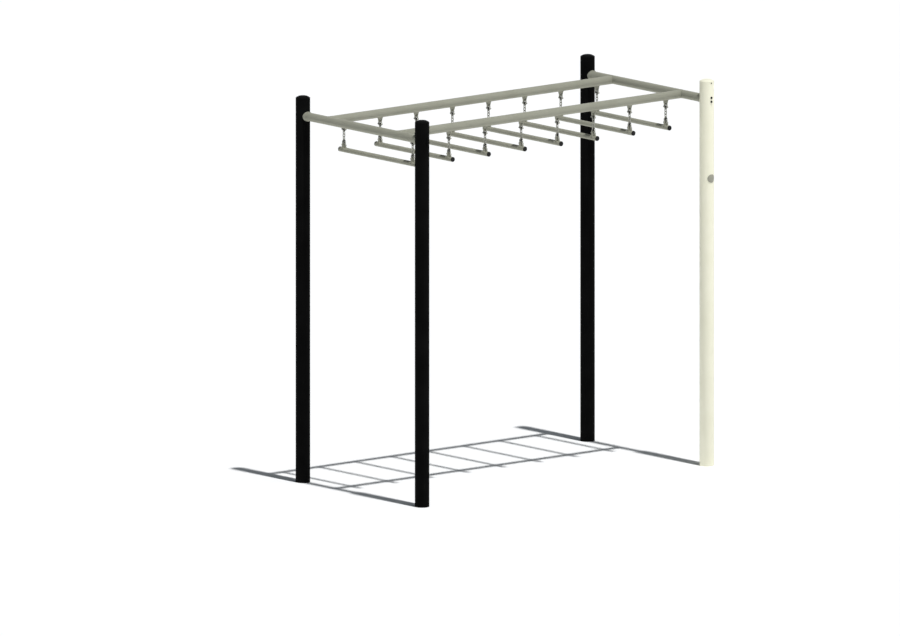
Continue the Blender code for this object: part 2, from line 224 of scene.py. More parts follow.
def turn_up(axis: Axis, centre: Vector, sides: int, profile: Profile, hollow: bool = False) -> Piece:
    """Turn a piece by raising rings from a circle, one for each step of a profile.

    Args:
        axis: the axis of the piece.
        centre: the point on the axis that distances count from.
        sides: facets round the axis.
        profile: (radius, distance along the axis) of each ring.
        hollow: True joins the last ring to the first, and False fills both ends.

    Returns:
        The closed piece, with its place in its mesh.
    """
    radius, distance = profile[0]
    piece = open_circle(sides, radius, centre + axis.way * distance, axis)
    steps = [*profile[1:], profile[0]] if hollow else profile[1:]
    for next_radius, next_distance in steps:
        step = axis.way * (next_distance - distance)
        bpy.ops.mesh.extrude_region_move(TRANSFORM_OT_translate={"value": step})
        scale = next_radius / radius
        spot = centre + axis.way * next_distance
        bpy.ops.transform.resize(value=(scale, scale, scale), center_override=spot)
        radius, distance = next_radius, next_distance
    return close_up(piece)


def rod(axis: Axis, centre: Vector, sides: int, radius: float, ends: Span) -> Piece:
    """Return a plain round bar from one distance along its axis to another."""
    return turn_up(axis, centre, sides, [(radius, end) for end in ends])


def tube(axis: Axis, centre: Vector, sides: int, outer: float, inner: float, ends: Span) -> Piece:
    """Return a tube of two radii from one distance along its axis to another."""
    profile = [(outer, ends[0]), (outer, ends[1]), (inner, ends[1]), (inner, ends[0])]
    return turn_up(axis, centre, sides, profile, hollow=True)


def oval_ring(axis: Axis, stretch: Vector, bend: float, wire: float, facets: Facets) -> Piece:
    """Make a round-wire ring about the origin, and pull its halves apart into an oval.

    Args:
        axis: the axis of the ring's hole.
        stretch: how far one half is pulled from the other, square to the axis.
        bend: radius from the bend's centre to the middle of the wire.
        wire: diameter of the wire.
        facets: facets round the ring and round the wire.

    Returns:
        The ring, centred on the origin.
    """
    around, across = facets
    deselect_all()
    bpy.ops.mesh.primitive_torus_add(
        major_segments=around, minor_segments=across, major_radius=bend, minor_radius=wire / 2,
        rotation=axis.lay,
    )
    piece = settle(bpy.context.object)
    # Half a facet of turn leaves no ring on the line between the two halves
    piece.data.transform(Matrix.Rotation(math.pi / around, 4, axis.way))
    if stretch.length > 0:
        for pull in (stretch / 2, -stretch / 2):
            select_vertices(piece, lambda spot, way=pull: spot.dot(way) > 0)
            bpy.ops.transform.translate(value=pull)
    deselect_all()
    return piece


def bake(piece: Piece, step: bpy.types.Modifier) -> Piece:
    """Put a modifier into the mesh, merge the doubled points that it leaves, and return the piece."""
    pick(piece)
    bpy.ops.object.modifier_apply(modifier=step.name)
    edit_all(piece)
    bpy.ops.mesh.remove_doubles(threshold=MERGE_DISTANCE)
    deselect_all()
    return piece


def cut(piece: Piece, tool: Piece, keep: Keep = Keep.OUTSIDE) -> Piece:
    """Cut a piece with a tool, and remove the tool.

    Args:
        piece: the object to change.
        tool: the object to cut with.
        keep: what stays of the piece.

    Returns:
        The changed piece.
    """
    step = piece.modifiers.new("cut", "BOOLEAN")
    step.operation = keep.value
    step.solver = "EXACT"
    step.object = tool
    bake(piece, step)
    bpy.data.objects.remove(tool, do_unlink=True)
    return piece


def soften(piece: Piece, width: float, segments: int = 2) -> Piece:
    """Round a piece's sharp edges.

    Args:
        piece: the object to round.
        width: width of the rounding.
        segments: facets across the rounding.

    Returns:
        The rounded piece.
    """
    step = piece.modifiers.new("soften", "BEVEL")
    step.width = width
    step.segments = segments
    step.limit_method = "ANGLE"
    step.angle_limit = math.radians(SHARP)
    return bake(piece, step)


def join(pieces: Sequence[Piece]) -> Piece:
    """Make one piece of several, and return it."""
    pick(*pieces)
    bpy.ops.object.join()
    return pieces[0]


def shade(piece: Piece, degrees: float = SHARP) -> Piece:
    """Shade a piece smooth except over edges sharper than an angle, and return it."""
    pick(piece)
    bpy.ops.object.shade_smooth_by_angle(angle=math.radians(degrees))
    return piece


def copy_of(pattern: Piece, place: Matrix) -> Piece:
    """Return a copy of a pattern piece with a mesh of its own, put in its place."""
    piece = bpy.data.objects.new(pattern.name, pattern.data.copy())
    piece.data.transform(place)
    bpy.context.scene.collection.objects.link(piece)
    return piece


def discard(patterns: Iterable[Piece]) -> None:
    """Remove the pattern pieces once their copies are made."""
    for pattern in patterns:
        bpy.data.objects.remove(pattern, do_unlink=True)


def at(spot: Vector, half_turn: bool = False) -> Matrix:
    """Return the placing of a pattern piece at a spot, turned half round Z if asked."""
    turn = Matrix.Rotation(math.pi, 4, "Z") if half_turn else Matrix.Identity(4)
    return Matrix.Translation(spot) @ turn


def middle(node: str) -> Vector:
    """Return the middle of a CAD node's box."""
    low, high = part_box(node)
    return (low + high) / 2


def hinge_points(start: str) -> list[Vector]:
    """Return the points of the hinges whose names start with a word, in their order."""
    return [Vector(joint["pos_m"]) for joint in frame["joints"] if joint["name"].startswith(start)]


# Finishes. Noise keeps mostly between 0.3 and 0.7, so the range it is mapped from sets its spread


def linear(colour: str) -> tuple[float, float, float, float]:
    """Turn an sRGB hex colour linear, by the curve of the sRGB standard.

    Args:
        colour: the colour, such as #C0FFEE.

    Returns:
        Linear red, green and blue, and an alpha of 1.
    """
    channels = [int(colour[start:start + 2], 16) / 255 for start in (1, 3, 5)]
    bent = [c / 12.92 if c <= 0.04045 else ((c + 0.055) / 1.055) ** 2.4 for c in channels]
    return (bent[0], bent[1], bent[2], 1.0)


def wire_up(tree: Tree, node: Node, links: Links) -> None:
    """Link (node, output) pairs to a node's inputs, each given by its name or number."""
    for key, (source, output) in links.items():
        tree.links.new(source.outputs[output], node.inputs[key])


def add(tree: Tree, kind: str, settings: dict | None = None, links: Links | None = None) -> Node:
    """Add a node with its settings and links.

    Args:
        tree: the node tree to add to.
        kind: the node's type name without its ShaderNode prefix.
        settings: values by socket name or number, or by property name.
        links: (node, output) by input socket name or number.

    Returns:
        The new node.
    """
    node = tree.nodes.new("ShaderNode" + kind)
    for key, value in (settings or {}).items():
        if isinstance(key, int) or key in node.inputs:
            node.inputs[key].default_value = value
        else:
            setattr(node, key, value)
    wire_up(tree, node, links or {})
    return node


def per_metre(size_mm: float) -> float:
    """Return the texture scale that gives a pattern a real size in millimetres."""
    return 1000 / size_mm


@dataclass(frozen=True)
class Finish:
    """A surface: its colour and that of its marks, its gloss, and the relief of its skin.

    The roughness goes from its first swing to its second as its pattern crosses gloss_from.
    """

    name: str
    slot: str
    colour: str
    marks: str
    roughness: float
    specular_level: float = 0.5
    metallic: float = 0.0
    gloss_from: Span = (0.0, 1.0)
    gloss_swing: Span = (0.0, 0.1)
    relief_strength: float = 0.3
    relief_depth_mm: float = 0.05

    def patterns(self, tree: Tree, place: Links) -> Patterns:
        """Add the finish's own patterns.

        Args:
            tree: the material's node tree.
            place: the link that lays a pattern out in Object coordinates.

        Returns:
            The share of the marks' colour, the pattern of the gloss, and the height of the skin.
        """
        raise NotImplementedError

    def dress(self, tree: Tree, shader: Node) -> None:
        """Lead the colours and the patterns to a tree's shader."""
        place = {"Vector": (add(tree, "TexCoord"), "Object")}
        share, gloss, height = self.patterns(tree, place)
        colours = {"Color1": linear(self.colour), "Color2": linear(self.marks)}
        colour = add(tree, "MixRGB", colours, {"Fac": share})
        low, high = (self.roughness + swing for swing in self.gloss_swing)
        start, end = self.gloss_from
        swings = {"From Min": start, "From Max": end, "To Min": low, "To Max": high}
        roughness = add(tree, "MapRange", swings, {"Value": gloss})
        relief = {"Strength": self.relief_strength, "Distance": self.relief_depth_mm * MM}
        skin = add(tree, "Bump", relief, {"Height": height})
        shader.inputs["Specular IOR Level"].default_value = self.specular_level
        shader.inputs["Metallic"].default_value = self.metallic
        wire_up(tree, shader, {
            "Base Color": (colour, "Color"),
            "Roughness": (roughness, "Result"),
            "Normal": (skin, "Normal"),
        })


@lru_cache(maxsize=None)
def material_of(finish: Finish) -> bpy.types.Material:
    """Return the one material of a finish, made on its first use."""
    material = bpy.data.materials.new(finish.name)
    material.use_nodes = True
    tree = material.node_tree
    finish.dress(tree, tree.nodes["Principled BSDF"])
    return material


@dataclass(frozen=True)
class PowderCoat(Finish):
    """Polyester powder baked on steel: satin, with fine orange peel and a little dust.

    The peel breaks up the highlight along each tube, and the slow drift in tone keeps a
    long plain post from looking printed. Real peel is 1 to 2 mm; it is drawn at 3 mm so
    that it shows from a few metres.
    """

    specular_level: float = 0.3
    gloss_from: Span = (0.3, 0.8)
    gloss_swing: Span = (-0.04, 0.08)
    relief_strength: float = 0.35
    drift_mm: float = 160.0
    speck_mm: float = 9.0
    peel_mm: float = 3.0
    dust_share: float = 0.5

    def patterns(self, tree: Tree, place: Links) -> Patterns:
        """Add the drift of tone, the specks of dust and the peel."""
        drift = add(tree, "TexNoise", {"Scale": per_metre(self.drift_mm), "Detail": 3.0}, place)
        tone = add(tree, "MapRange", {"From Min": 0.35, "From Max": 0.75}, {"Value": (drift, "Fac")})
        grit = {"Scale": per_metre(self.speck_mm), "Detail": 6.0, "Roughness": 0.7}
        specks = add(tree, "TexNoise", grit, place)
        dusty = {"From Min": 0.60, "From Max": 0.78, "To Max": self.dust_share}
        dust = add(tree, "MapRange", dusty, {"Value": (specks, "Fac")})
        marks = {0: (tone, "Result"), 1: (dust, "Result")}
        both = add(tree, "Math", {"operation": "MAXIMUM"}, marks)
        peel = add(tree, "TexNoise", {"Scale": per_metre(self.peel_mm), "Detail": 1.5}, place)
        return (both, "Value"), (specks, "Fac"), (peel, "Fac")


@dataclass(frozen=True)
class ZincSteel(Finish):
    """Hot-dip zinc on bent and forged steel: bright faint crystals in a duller, darker bloom."""

    metallic: float = 0.85
    gloss_swing: Span = (0.12, -0.06)
    relief_depth_mm: float = 0.04
    crystal_mm: float = 3.5
    bloom_mm: float = 10.5
    pit_mm: float = 0.9

    def patterns(self, tree: Tree, place: Links) -> Patterns:
        """Add the crystals, the bloom and the pitted skin."""
        crystals = add(tree, "TexVoronoi", {"Scale": per_metre(self.crystal_mm)}, place)
        facet = add(tree, "RGBToBW", {}, {"Color": (crystals, "Color")})
        bloom = add(tree, "TexNoise", {"Scale": per_metre(self.bloom_mm), "Detail": 5.0}, place)
        share = add(tree, "Math", {"operation": "MULTIPLY"}, {0: (facet, "Val"), 1: (bloom, "Fac")})
        bright = add(tree, "MapRange", {"From Min": 0.05, "From Max": 0.45}, {"Value": (share, "Value")})
        pits = add(tree, "TexNoise", {"Scale": per_metre(self.pit_mm), "Detail": 3.0}, place)
        return (bright, "Result"), (bright, "Result"), (pits, "Fac")


@dataclass(frozen=True)
class MouldedNylon(Finish):
    """Black nylon from a spark-eroded mould: matt, with a fine even grain and greyer scuffs."""

    specular_level: float = 0.2
    gloss_swing: Span = (0.0, 0.15)
    relief_strength: float = 0.25
    scuff_mm: float = 12.0
    grain_mm: float = 0.8

    def patterns(self, tree: Tree, place: Links) -> Patterns:
        """Add the scuffs and the mould's grain."""
        rub = {"Scale": per_metre(self.scuff_mm), "Detail": 8.0, "Roughness": 0.65}
        scuffs = add(tree, "TexNoise", rub, place)
        worn = add(tree, "MapRange", {"From Min": 0.52, "From Max": 0.72}, {"Value": (scuffs, "Fac")})
        cells = {"Scale": per_metre(self.grain_mm), "feature": "SMOOTH_F1"}
        grain = add(tree, "TexVoronoi", cells, place)
        return (worn, "Result"), (worn, "Result"), (grain, "Distance")


BLACK_COAT = PowderCoat("satin black powder coat", "black_paint", "#0A0A0A", "#101010", 0.6, 0.01)
CREAM_COAT = PowderCoat("satin cream powder coat", "cream_paint", "#F2F0DA", "#EDEBD3", 0.45, 0.4)
GREY_COAT = PowderCoat("satin warm grey powder coat", "grey_paint", "#98988A", "#929284", 0.55, 0.1)
DISC_GREY = PowderCoat(
    "matt grey enamel", "disc_grey", "#9E9D8F", "#979688", 0.5, drift_mm=25.0, speck_mm=4.0
)
ZINC = ZincSteel("hot-dip zinc on forged steel", "zinc_steel", "#8C8C84", "#ADADA4", 0.42)
NYLON = MouldedNylon("grained black nylon", "black_plastic", "#0C0C0C", "#1A1A19", 0.55)


@dataclass
class SubAssembly:
    """What every sub-assembly shares: it hands each finished piece to the frame."""

    def hand_over(
        self, name: str, piece: Piece, finish: Finish, *nodes: str, body: str = "frame"
    ) -> None:
        """Give a piece its name, finish and body, and hide the CAD nodes that it stands for.

        Args:
            name: the piece's name.
            piece: the finished piece, its place in its mesh.
            finish: its surface.
            nodes: the CAD nodes that it replaces.
            body: the CAD body that it moves with.
        """
        piece.name = piece.data.name = name
        piece.data.materials.clear()
        piece.data.materials.append(material_of(finish))
        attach(piece, body)
        if nodes:
            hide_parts(*nodes)
        faces = len(piece.data.polygons)
        LOG.info("%s: %d faces, %s, rides on %s", name, faces, finish.name, body)


@dataclass
class Posts(SubAssembly):
    """The four posts, their caps, the screws that hold the caps, and the bare disc."""

    diameter: float = 101.6 * MM
    wall: float = 3.6 * MM
    sides: int = 96
    cream_corner: Corner = Corner(Column.RIGHT, Row.FRONT)
    broken_edge: float = 0.5 * MM
    cap_edge: float = 2 * MM
    cap_top_diameter: float = 59 * MM
    cap_rounding: float = 1.2 * MM
    screw_diameter: float = 9 * MM
    screw_shank: float = 4.5 * MM
    screw_seat: float = 0.1 * MM
    screw_rise: float = 2.6 * MM
    # Share of the head's radius and of its rise at each ring
    screw_dome: Profile = ((1.0, 0.45), (0.8, 0.85), (0.45, 1.0))
    screw_sides: int = 24
    screw_below_top: float = 22 * MM
    disc_diameter: float = 59 * MM
    disc_thickness: float = 2 * MM
    disc_sides: int = 64

    def build(self) -> None:
        """Build each post with its cap and cap screw, and the disc on the cream one."""
        for column in Column:
            for row in Row:
                corner = Corner(column, row)
                coat = CREAM_COAT if corner == self.cream_corner else BLACK_COAT
                self.hand_over(f"post_tube_{corner}", self.post(corner), coat, f"post_{corner}")
                self.hand_over(f"post_dome_{corner}", self.cap(corner), coat, f"post_cap_{corner}")
                self.hand_over(f"cap_screw_{corner}", self.cap_screw(corner), BLACK_COAT)
        self.hand_over("bare_disc", self.disc(), DISC_GREY, "badge_disc")

    def post(self, corner: Corner) -> Piece:
        """Return a post's tube, its two ends lightly broken."""
        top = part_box(f"post_{corner}")[1].z
        outer = self.diameter / 2
        post = tube(Axis.Z, corner.at_height(0), self.sides, outer, outer - self.wall, (0, top))
        return shade(soften(post, self.broken_edge))

    def cap(self, corner: Corner) -> Piece:
        """Return a cap: a low dome that runs out to the post's edge, and its plug."""
        low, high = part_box(f"post_cap_{corner}")
        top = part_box(f"post_{corner}")[1].z
        rim = self.diameter / 2
        flat = self.cap_top_diameter / 2
        roof = top + self.cap_edge
        shoulder = (rim + flat) / 2 + self.cap_edge
        plug = rim - self.wall - SEAT_GAP
        profile = [
            (plug, low.z), (plug, top + SEAT_GAP), (rim, top + SEAT_GAP), (rim, roof),
            (shoulder, (high.z + roof) / 2), (flat, high.z),
        ]
        cap = turn_up(Axis.Z, corner.at_height(0), self.sides, profile)
        return shade(soften(cap, self.cap_rounding, FINE_ROUNDING))

    def cap_screw(self, corner: Corner) -> Piece:
        """Return the small pan-head screw that holds a cap, on the post's outer face."""
        _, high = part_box(f"post_cap_{corner}")
        centre = corner.at_height(high.z - self.screw_below_top)
        face = -self.diameter / 2
        head = self.screw_diameter / 2
        shank = self.screw_shank / 2
        seat = face + self.screw_seat
        profile = [(shank, face + self.wall), (shank, seat), (head, seat)]
        profile += [(head * share, face - self.screw_rise * rise) for share, rise in self.screw_dome]
        screw = turn_up(Axis.Y, centre, self.screw_sides, profile)
        if corner.row is Row.BACK:
            screw.data.transform(at(centre, half_turn=True) @ at(-centre))
        return shade(screw, SHARP_COARSE)

    def disc(self) -> Piece:
        """Return the thin disc bent to the face of the cream post."""
        low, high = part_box("badge_disc")
        foot = self.cream_corner.at_height(0)
        inner = self.diameter / 2 + SEAT_GAP
        outer = inner + self.disc_thickness
        shell = tube(Axis.Z, foot, self.sides, outer, inner, (low.z, high.z))
        spot = self.cream_corner.at_height((low.z + high.z) / 2)
        punch = rod(Axis.Y, spot, self.disc_sides, self.disc_diameter / 2, (-outer * 2, 0))
        return shade(soften(cut(shell, punch, Keep.INSIDE), self.broken_edge))


@dataclass
class Beams(SubAssembly):
    """The two end beams, their saddles, the welds between them and the saddles' bolts."""

    diameter: float = 60.3 * MM
    wall: float = 3.2 * MM
    sides: int = 72
    saddle_diameter: float = 69 * MM
    saddle_thickness: float = 14 * MM
    saddle_rim: float = 1.5 * MM
    bead: float = 4 * MM
    bead_sides: int = 10
    bolt_spacing: float = 28 * MM
    bolt_sides: int = 32
    bolt_foot: float = 2 * MM
    shank_share: float = 0.7
    head_diameter: float = 16 * MM
    head_height: float = 6 * MM
    head_seat: float = 0.6 * MM
    # Share of the head's radius and of its height at each ring
    head_dome: Profile = ((1.0, 0.45), (0.93, 0.7), (0.8, 0.88), (0.6, 1.0))
    head_rounding: float = 0.2 * MM
    socket_diameter: float = 7.5 * MM
    socket_depth: float = 3 * MM

    def build(self) -> None:
        """Build each beam, and a saddle with two bolts at each of its ends."""
        for column in Column:
            node = f"end_beam_{column.value}"
            self.hand_over(f"beam_tube_{column.value}", self.beam(node), GREY_COAT, node)
            for row in Row:
                corner = Corner(column, row)
                saddle = self.saddle(corner)
                self.hand_over(f"saddle_{corner}", saddle, GREY_COAT, f"beam_saddle_{corner}")
                for number, side in enumerate((-1, 1), start=1):
                    name = f"saddle_bolt_{corner}_{number}"
                    self.hand_over(name, self.bolt(corner, side), BLACK_COAT)

    def height(self) -> float:
        """Return the height of the beams' axis."""
        return middle(f"end_beam_{Column.LEFT.value}").z

    def beam(self, node: str) -> Piece:
        """Return the tube of a beam's node with a weld bead round each end."""
        low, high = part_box(node)
        centre = middle(node)
        half = (high.y - low.y) / 2
        outer = self.diameter / 2
        parts = [tube(Axis.Y, centre, self.sides, outer, outer - self.wall, (-half, half))]
        # The bead is set back, so that only its shoulder stands in the corner with the saddle
        reach = half - self.bead / 3
        for end in (-1, 1):
            ring = oval_ring(Axis.Y, Vector(), outer, self.bead, (self.sides, self.bead_sides))
            ring.data.transform(at(centre + Axis.Y.way * end * reach))
            parts.append(ring)
        return shade(join(parts))

    def saddle(self, corner: Corner) -> Piece:
        """Return the disc between a beam and its post, hollowed to fit the post."""
        centre = corner.at_height(self.height())
        inward = -corner.row.side
        face = Posts.diameter / 2 + self.saddle_thickness
        radius = self.saddle_diameter / 2
        rim = self.saddle_rim
        profile = [
            (radius, 0.0), (radius, inward * (face - rim)),
            (radius - rim / 3, inward * (face - rim / 3)), (radius - rim, inward * face),
        ]
        disc = turn_up(Axis.Y, centre, self.sides, profile)
        bore = Posts.diameter / 2 + SEAT_GAP
        reach = self.saddle_diameter
        return shade(cut(disc, rod(Axis.Z, centre, self.sides, bore, (-reach, reach))))

    def bolt(self, corner: Corner, side: int) -> Piece:
        """Return a round-headed socket bolt, on a post's outer face, below or above the beam's axis."""
        centre = corner.at_height(self.height() + side * self.bolt_spacing / 2)
        outward = corner.row.side
        face = Posts.diameter / 2
        head = self.head_diameter / 2
        profile = [
            (head * self.shank_share, outward * (face - self.bolt_foot)),
            (head, outward * (face - self.head_seat)),
        ]
        for share, rise in self.head_dome:
            profile.append((head * share, outward * (face + self.head_height * rise)))
        bolt = turn_up(Axis.Y, centre, self.bolt_sides, profile)
        tip = face + self.head_height
        depths = (outward * (tip - self.socket_depth), outward * (tip + MM))
        socket = rod(Axis.Y, centre, HEXAGON, self.socket_diameter / 2, depths)
        return shade(soften(cut(bolt, socket), self.head_rounding, 1), SHARP_SMALL)


@dataclass
class Lug:
    """A tapered steel plate with a hole in its round tip, welded to a tube."""

    thickness: float = 8 * MM
    root_width: float = 44 * MM
    tip_radius: float = 15 * MM
    tip_sides: int = 48
    hole_diameter: float = 11 * MM
    hole_sides: int = 40
    rounding: float = 0.6 * MM

    def plate(self, rise: float, direction: int, trim: Piece | None = None) -> Piece:
        """Make a lug about its hole at the origin.

        Args:
            rise: distance from the hole to the root.
            direction: 1 where the root lies above the hole, or -1 where it lies below.
            trim: a tool that fits the root to its tube.

        Returns:
            The lug, with softened edges.
        """
        half = self.thickness / 2
        plate = rod(Axis.Y, Vector(), self.tip_sides, self.tip_radius, (-half, half))
        # The sides leave the round tip where they touch it, and what lies past goes to the root
        hypotenuse = math.hypot(self.root_width / 2, rise)
        tangent = math.acos(self.tip_radius / hypotenuse) - math.atan2(rise, self.root_width / 2)
        limit = -self.tip_radius * math.sin(tangent)
        select_vertices(plate, lambda spot: spot.z * direction > limit)
        bpy.ops.transform.resize(value=(1.0, 1.0, 0.0), center_override=(0, 0, 0))
        bpy.ops.transform.translate(value=Axis.Z.way * rise * direction)
        widen = self.root_width / 2 / self.tip_radius
        bpy.ops.transform.resize(value=(widen, 1.0, 1.0), center_override=(0, 0, 0))
        # The ring's widest points fold back on the root line, so the outline is made anew as a hull
        bpy.ops.mesh.select_all(action="SELECT")
        bpy.ops.mesh.convex_hull()
        bpy.ops.mesh.select_all(action="SELECT")
        bpy.ops.mesh.dissolve_limited(angle_limit=math.radians(1))
        deselect_all()
        reach = self.thickness
        bore = rod(Axis.Y, Vector(), self.hole_sides, self.hole_diameter / 2, (-reach, reach))
        plate = soften(cut(plate, bore), self.rounding)
        return plate if trim is None else cut(plate, trim)


@dataclass
class Rails(SubAssembly):
    """The two rails, each welded to the beams, with a lug welded under it for each rung."""

    diameter: float = Beams.diameter
    wall: float = Beams.wall
    sides: int = Beams.sides
    bead: float = 4.4 * MM
    bead_sides: int = 10
    lug_bead: float = 4 * MM
    lug_bead_facets: Facets = (24, 8)
    lug_rise: float = 21.5 * MM
    lug_sink: float = 1.5 * MM

    def build(self) -> None:
        """Build both rails."""
        for row in Row:
            self.hand_over(f"rail_tube_{row.value}", self.rail(row), GREY_COAT, f"rail_{row.value}")

    def rail(self, row: Row) -> Piece:
        """Return a rail's tube, fitted to both beams, with its lugs and weld beads."""
        outer = self.diameter / 2
        beams = [middle(f"end_beam_{column.value}") for column in Column]
        spot = Vector((0.0, middle(f"rail_{row.value}").y, beams[0].z))
        ends = (beams[0].x, beams[1].x)
        body = tube(Axis.X, spot, self.sides, outer, outer - self.wall, ends)
        reach = self.diameter
        welded = []
        for beam in beams:
            centre = Vector((beam.x, spot.y, spot.z))
            body = cut(body, rod(Axis.Y, centre, self.sides, outer, (-reach, reach)))
            welded.append(self.joint_bead(centre, 1 if beam.x < 0 else -1))
        pattern = Lug().plate(self.lug_rise, 1)
        collar = self.lug_collar()
        for rung in hinge_points("rung_"):
            root = Vector((rung.x, spot.y, spot.z - outer))
            hole = root - Axis.Z.way * (self.lug_rise - self.lug_sink)
            welded += [copy_of(pattern, at(hole)), copy_of(collar, at(root))]
        discard([pattern, collar])
        return shade(join([body, *welded]))

    def joint_bead(self, centre: Vector, inward: int) -> Piece:
        """Make the weld bead round the line where a rail meets a beam of the same size.

        Args:
            centre: where the two axes cross.
            inward: the sign of X towards the ladder's middle.

        Returns:
            The bead.
        """
        outer = self.diameter / 2
        ring = oval_ring(Axis.X, Vector(), outer, self.bead, (self.sides, self.bead_sides))
        for vertex in ring.data.vertices:
            vertex.co.x += inward * min(abs(vertex.co.y), outer)
        ring.data.transform(at(centre))
        return ring

    def lug_collar(self) -> Piece:
        """Return the weld bead round a lug's root, flat under the rail."""
        bend = Lug.thickness / 2 + self.lug_bead / 4
        straight = Axis.X.way * (Lug.root_width - Lug.thickness)
        return oval_ring(Axis.Z, straight, bend, self.lug_bead, self.lug_bead_facets)


@dataclass
class Rungs(SubAssembly):
    """The eight rungs with their lugs and welds, and the plugs in their ends."""

    diameter: float = 35 * MM
    wall: float = 2.6 * MM
    sides: int = 56
    axis_drop: float = 33.7 * MM
    cap_thickness: float = 5 * MM
    cap_plug: float = 18 * MM
    # Distance in from the rim and back from the face at each ring
    cap_rounding: Profile = (
        (0.0, 2.5 * MM), (0.7 * MM, 1.0 * MM), (2.5 * MM, 0.1 * MM), (5.0 * MM, 0.0),
    )
    lug_rise: float = 24 * MM
    bead: float = 3.4 * MM
    bead_sides: int = 8

    def build(self) -> None:
        """Build each rung with its two end plugs."""
        pattern = self.rung()
        plugs = {row: self.plug(row) for row in Row}
        for number, spot in enumerate(hinge_points("rung_"), start=1):
            body = f"rung_body_{number}"
            rung = copy_of(pattern, at(spot))
            self.hand_over(f"rung_tube_{number}", rung, GREY_COAT, f"rung_{number}", body=body)
            for row in Row:
                end = f"{number}_{row.value}"
                plug = copy_of(plugs[row], at(spot))
                self.hand_over(f"rung_plug_{end}", plug, NYLON, f"rung_cap_{end}", body=body)
        discard([pattern, *plugs.values()])

    def half_length(self) -> float:
        """Return half the length of a rung over its plugs."""
        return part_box(f"rung_cap_1_{Row.BACK.value}")[1].y

    def rung(self) -> Piece:
        """Return a rung's tube with two lugs and their weld beads, about its hinge point."""
        axis = Vector((0, 0, -self.axis_drop))
        outer = self.diameter / 2
        inner = outer - self.wall
        half = self.half_length() - self.cap_thickness - SEAT_GAP
        parts = [tube(Axis.Y, axis, self.sides, outer, inner, (-half, half))]
        reach = Lug.thickness
        bore = rod(Axis.Y, axis, self.sides, inner, (-reach, reach))
        pattern = Lug().plate(self.lug_rise, -1, bore)
        for side in (-1, 1):
            offset = Axis.Y.way * side * middle(f"rail_{Row.BACK.value}").y
            parts.append(copy_of(pattern, at(offset)))
            for face in (-1, 1):
                shift = Axis.Y.way * face * (Lug.thickness / 2 + self.bead / 6)
                parts.append(self.saddle_bead(offset + axis + shift))
        discard([pattern])
        return shade(join(parts))

    def saddle_bead(self, centre: Vector) -> Piece:
        """Return the bead that runs over the rung along one face of a lug, about a point on its axis."""
        facets = (self.sides, self.bead_sides)
        ring = oval_ring(Axis.Y, Vector(), self.diameter / 2, self.bead, facets)
        edit_all(ring)
        above = (0, 0, self.diameter / 4)
        bpy.ops.mesh.bisect(plane_co=above, plane_no=Axis.Z.way, use_fill=True, clear_inner=True)
        deselect_all()
        ring.data.transform(at(centre))
        return ring

    def plug(self, row: Row) -> Piece:
        """Return the plug for one end of a rung, about the rung's hinge point."""
        axis = Vector((0, 0, -self.axis_drop))
        face = self.half_length()
        seat = face - self.cap_thickness
        rim = self.diameter / 2
        shaft = rim - self.wall - SEAT_GAP
        profile = [(shaft, seat - self.cap_plug), (shaft, seat), (rim, seat)]
        profile += [(rim - inset, face - back) for inset, back in self.cap_rounding]
        sided = [(radius, row.side * distance) for radius, distance in profile]
        return shade(turn_up(Axis.Y, axis, self.sides, sided))


